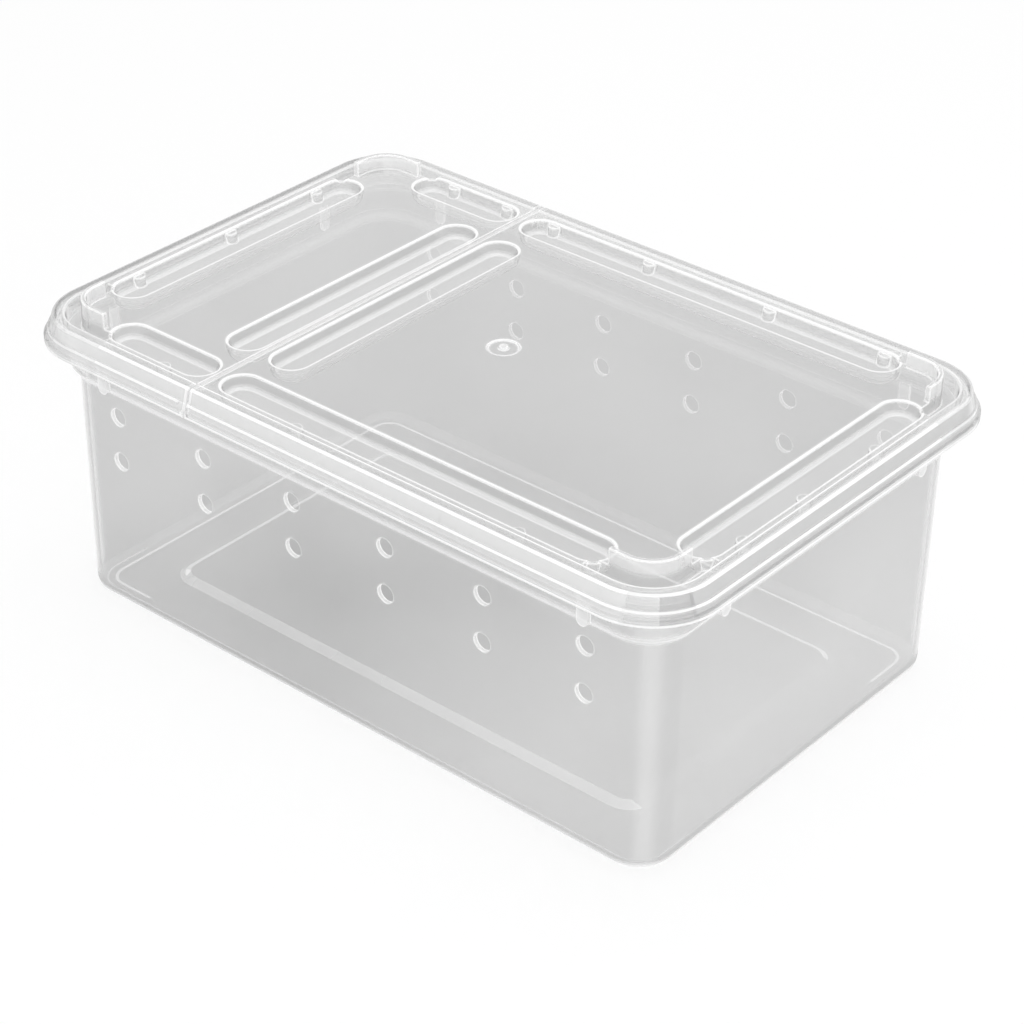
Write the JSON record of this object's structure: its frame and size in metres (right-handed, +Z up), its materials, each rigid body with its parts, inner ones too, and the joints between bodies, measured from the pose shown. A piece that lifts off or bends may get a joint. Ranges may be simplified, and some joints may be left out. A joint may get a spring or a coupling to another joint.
{
  "type": "reptile breeding box",
  "caption": "Clear stackable rearing box with vented long walls, and a push-fit lid whose end flap swings up on a moulded film hinge for feeding.",
  "frame": {"origin": "centre of the base, on the plane that the box stands on", "axes": "+X along the box's length, away from the flap; +Y towards one of the two alike long walls; +Z up"},
  "size_m": [0.19, 0.126, 0.0783],
  "materials": {
    "tub_plastic": "clear natural polypropylene, injection moulded, glossy with a slight haze",
    "lid_plastic": "clear natural polypropylene, injection moulded, glossy with a slight haze",
    "hinge_plastic": "the lid's polypropylene thinned to a flexible web, a little whitened by bending"
  },
  "bodies": {
    "tub": {"tub": "tub_plastic"},
    "lid": {"lid_main_panel": "lid_plastic", "film_hinge": "hinge_plastic"},
    "flap": {"lid_flap": "lid_plastic"}
  },
  "joints": [
    {"name": "lid_lift", "type": "slide", "parent": "tub", "child": "lid", "axis": [0, 0, 1], "range_m": [0, 0.03]},
    {"name": "flap_hinge", "type": "hinge", "parent": "lid", "child": "flap", "pos_m": [-0.0389, 0, 0.0748], "axis": [0, 1, 0], "range_deg": [0, 170], "deforming": ["film_hinge"]}
  ]
}
